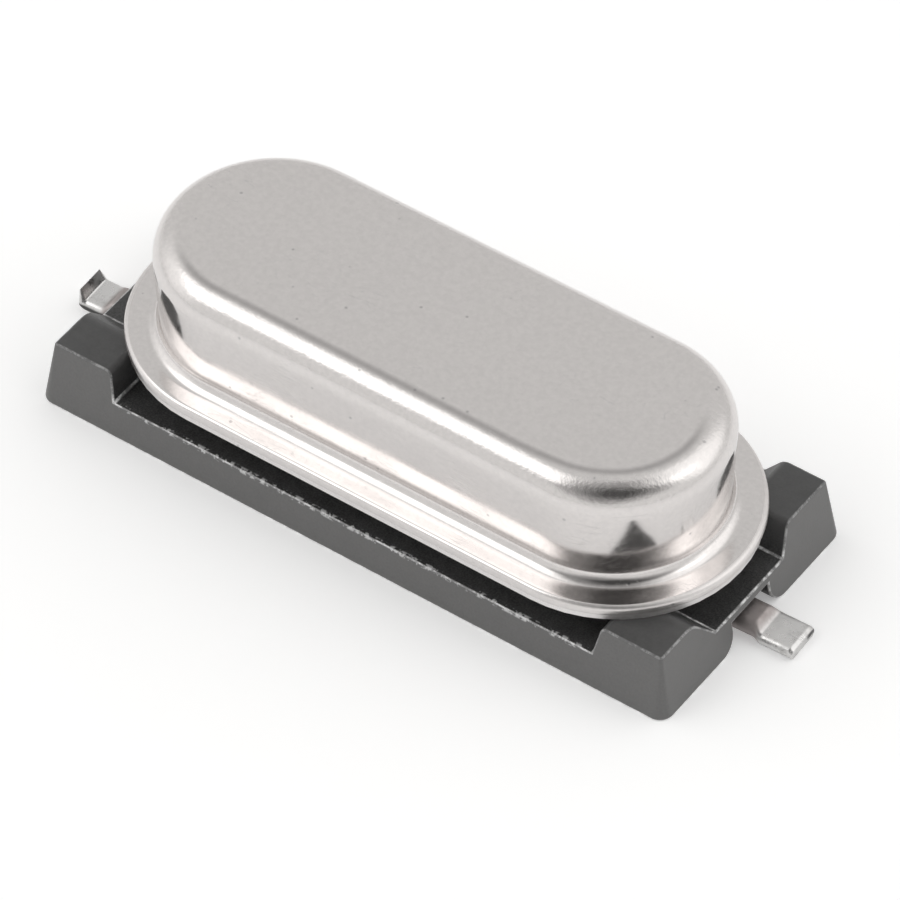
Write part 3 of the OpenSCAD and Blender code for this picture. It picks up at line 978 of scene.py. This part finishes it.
# %% [markdown]
# ## Floor, light and camera
# Metal shows its surroundings more than its own colour, so the light matters as much
# as the finish. The part stands in a light tent that is pale grey all round and a
# little dimmer behind. One softbox shines through it from the front left and a wider
# one from the back right. Each has a hot middle, and the front one a faint glow below
# it on the cloth. Between them is the dark opening for the lens. All of these are
# soft-edged rectangles on the sky that brighten or dim the tent by a given amount.

# %% Tent
TENT_LEVEL = 0.8
# Name, azimuth, angle from the zenith and turn in degrees, half sides and soft border
# as tangents, and the change of brightness
PANELS = (("softbox, front left", 219, 38, -43, (0.31, 0.37), 0.16, 0.85),
          ("its hot middle", 232, 43, -43, (0.15, 0.18), 0.14, 0.6),
          ("its glow on the tent", 199, 61, -46, (0.32, 0.57), 0.3, 0.25),
          ("softbox, back right", 41, 45, 2, (0.6, 0.45), 0.26, 0.56),
          ("its hot middle", 20, 43, 0, (0.14, 0.18), 0.12, 0.5),
          ("dim back of the tent", 109, 52, 24, (1.4, 1.6), 0.4, -0.12),
          ("opening for the lens", -58, 38, 34, (0.67, 0.76), 0.35, -0.5),
          ("middle of the opening", -50, 41, 60, (0.3, 0.33), 0.2, -0.23))


def soft_panel(tree, direction, azimuth, from_zenith, turn, half_sides, border):
    """1 on a rectangle of sky, falling softly to 0."""
    flat = Vector((math.cos(math.radians(azimuth)), math.sin(math.radians(azimuth)), 0))
    up = Vector((0, 0, 1))
    tilt = math.radians(from_zenith)
    middle = flat * math.sin(tilt) + up * math.cos(tilt)
    down = flat * math.cos(tilt) - up * math.sin(tilt)
    first = Matrix.Rotation(math.radians(turn), 3, middle) @ down

    def along(axis):
        """How far the direction points along an axis."""
        return add(tree, "ShaderNodeVectorMath", {0: direction, 1: tuple(axis)},
                   operation="DOT_PRODUCT").outputs["Value"]

    depth = calc(tree, "MAXIMUM", along(middle), 0.05)
    share = 1.0
    for axis, half in zip((first, middle.cross(first)), half_sides):
        off = calc(tree, "ABSOLUTE", calc(tree, "DIVIDE", along(axis), depth))
        inside = remap(tree, off, half - border, half + border, 1.0, 0.0, "SMOOTHSTEP")
        share = product(tree, share, inside)
    return share


def light_tent():
    """The world: the tent's own level, changed by each panel in turn."""
    world = bpy.data.worlds.new("light_tent")
    bpy.context.scene.world = world
    world.use_nodes = True
    tree = world.node_tree
    tree.nodes.clear()
    direction = add(tree, "ShaderNodeTexCoord").outputs["Generated"]
    level = TENT_LEVEL
    for name, azimuth, from_zenith, turn, half_sides, border, change in PANELS:
        share = soft_panel(tree, direction, azimuth, from_zenith, turn, half_sides, border)
        level = calc(tree, "MULTIPLY_ADD", share, change, level)
        print(name, "changes the tent by", change)
    lit = add(tree, "ShaderNodeBackground", {"Color": (1.0, 0.995, 0.985, 1.0),
                                             "Strength": level})
    add(tree, "ShaderNodeOutputWorld", {"Surface": lit.outputs[0]})


light_tent()

# %% [markdown]
# The floor is pale and matt and takes the part's shadow. What it lacks to pure white
# is added as a little glow that only the camera, reflections and clear pieces see, so
# it throws no extra light on the part. Reflections see less of it with the distance,
# as the tent hides the far floor from the metal.

# %% Floor
FLOOR_RADIUS = 0.6              # metres
FLOOR_GLOW = 0.285
MIRRORED_GLOW = 0.65            # the share of the glow that reflections see close by
MIRRORED_OVER = (10.0, 60.0)    # mm from the part's middle over which that share ends


def pale_floor():
    """A round white floor under the part."""
    shape = bmesh.new()
    bmesh.ops.create_circle(shape, cap_ends=True, segments=96, radius=FLOOR_RADIUS)
    mesh = bpy.data.meshes.new("floor")
    shape.to_mesh(mesh)
    shape.free()
    floor = new_object("floor", mesh)
    material, tree, shader, place = new_material("pale_floor")
    shader.inputs["Base Color"].default_value = grey(0.93)
    shader.inputs["Roughness"].default_value = 1.0
    shader.inputs["Specular IOR Level"].default_value = 0.0
    path = add(tree, "ShaderNodeLightPath").outputs
    from_part = add(tree, "ShaderNodeVectorMath", {0: place}, operation="LENGTH")
    near = remap(tree, from_part.outputs["Value"], *MIRRORED_OVER, MIRRORED_GLOW, 0.0)
    mirrored = product(tree, path["Is Glossy Ray"], near)
    seen = calc(tree, "MAXIMUM", path["Is Camera Ray"],
                calc(tree, "MAXIMUM", mirrored, path["Is Transmission Ray"]))
    shader.inputs["Emission Color"].default_value = grey(1.0)
    tree.links.new(product(tree, seen, FLOOR_GLOW), shader.inputs["Emission Strength"])
    give_finish(floor, material)
    print("floor:", round(2 * FLOOR_RADIUS, 2), "m across")


pale_floor()

# %% [markdown]
# The camera is set from its viewing angle: it looks down on the part from the
# front right, through a long lens, and leans by half a degree.

# %% Camera
VIEW_AZIMUTH = math.radians(35.8)
VIEW_ELEVATION = math.radians(46.9)
AIM = Vector((1.085, -1.187, 2.0)) * MM
DISTANCE = 114.5 * MM
FOCAL_PIXELS = 7840     # focal length, as long as this many pixels of the frame
FRAME_PIXELS = 900      # width of the frame
ROLL = math.radians(0.5)


def aimed_camera():
    """The camera at its distance from the aim, turned by azimuth, elevation and roll."""
    data = bpy.data.cameras.new("camera")
    data.sensor_width = 36.0
    data.lens = FOCAL_PIXELS / FRAME_PIXELS * data.sensor_width
    data.clip_start = 0.005
    data.clip_end = 5.0
    camera = new_object("camera", data)
    right = Vector((math.cos(VIEW_AZIMUTH), math.sin(VIEW_AZIMUTH), 0))
    level = Vector((right.y, -right.x, 0))
    to_camera = level * math.cos(VIEW_ELEVATION) + Vector((0, 0, math.sin(VIEW_ELEVATION)))
    up = to_camera.cross(right)
    leaning_right = right * math.cos(ROLL) - up * math.sin(ROLL)
    leaning_up = right * math.sin(ROLL) + up * math.cos(ROLL)
    turn = Matrix((leaning_right, leaning_up, to_camera)).transposed().to_4x4()
    camera.matrix_world = Matrix.Translation(AIM + to_camera * DISTANCE) @ turn
    bpy.context.scene.camera = camera
    print("camera lens:", round(data.lens, 1), "mm")


aimed_camera()
bpy.context.scene.view_settings.view_transform = "Standard"
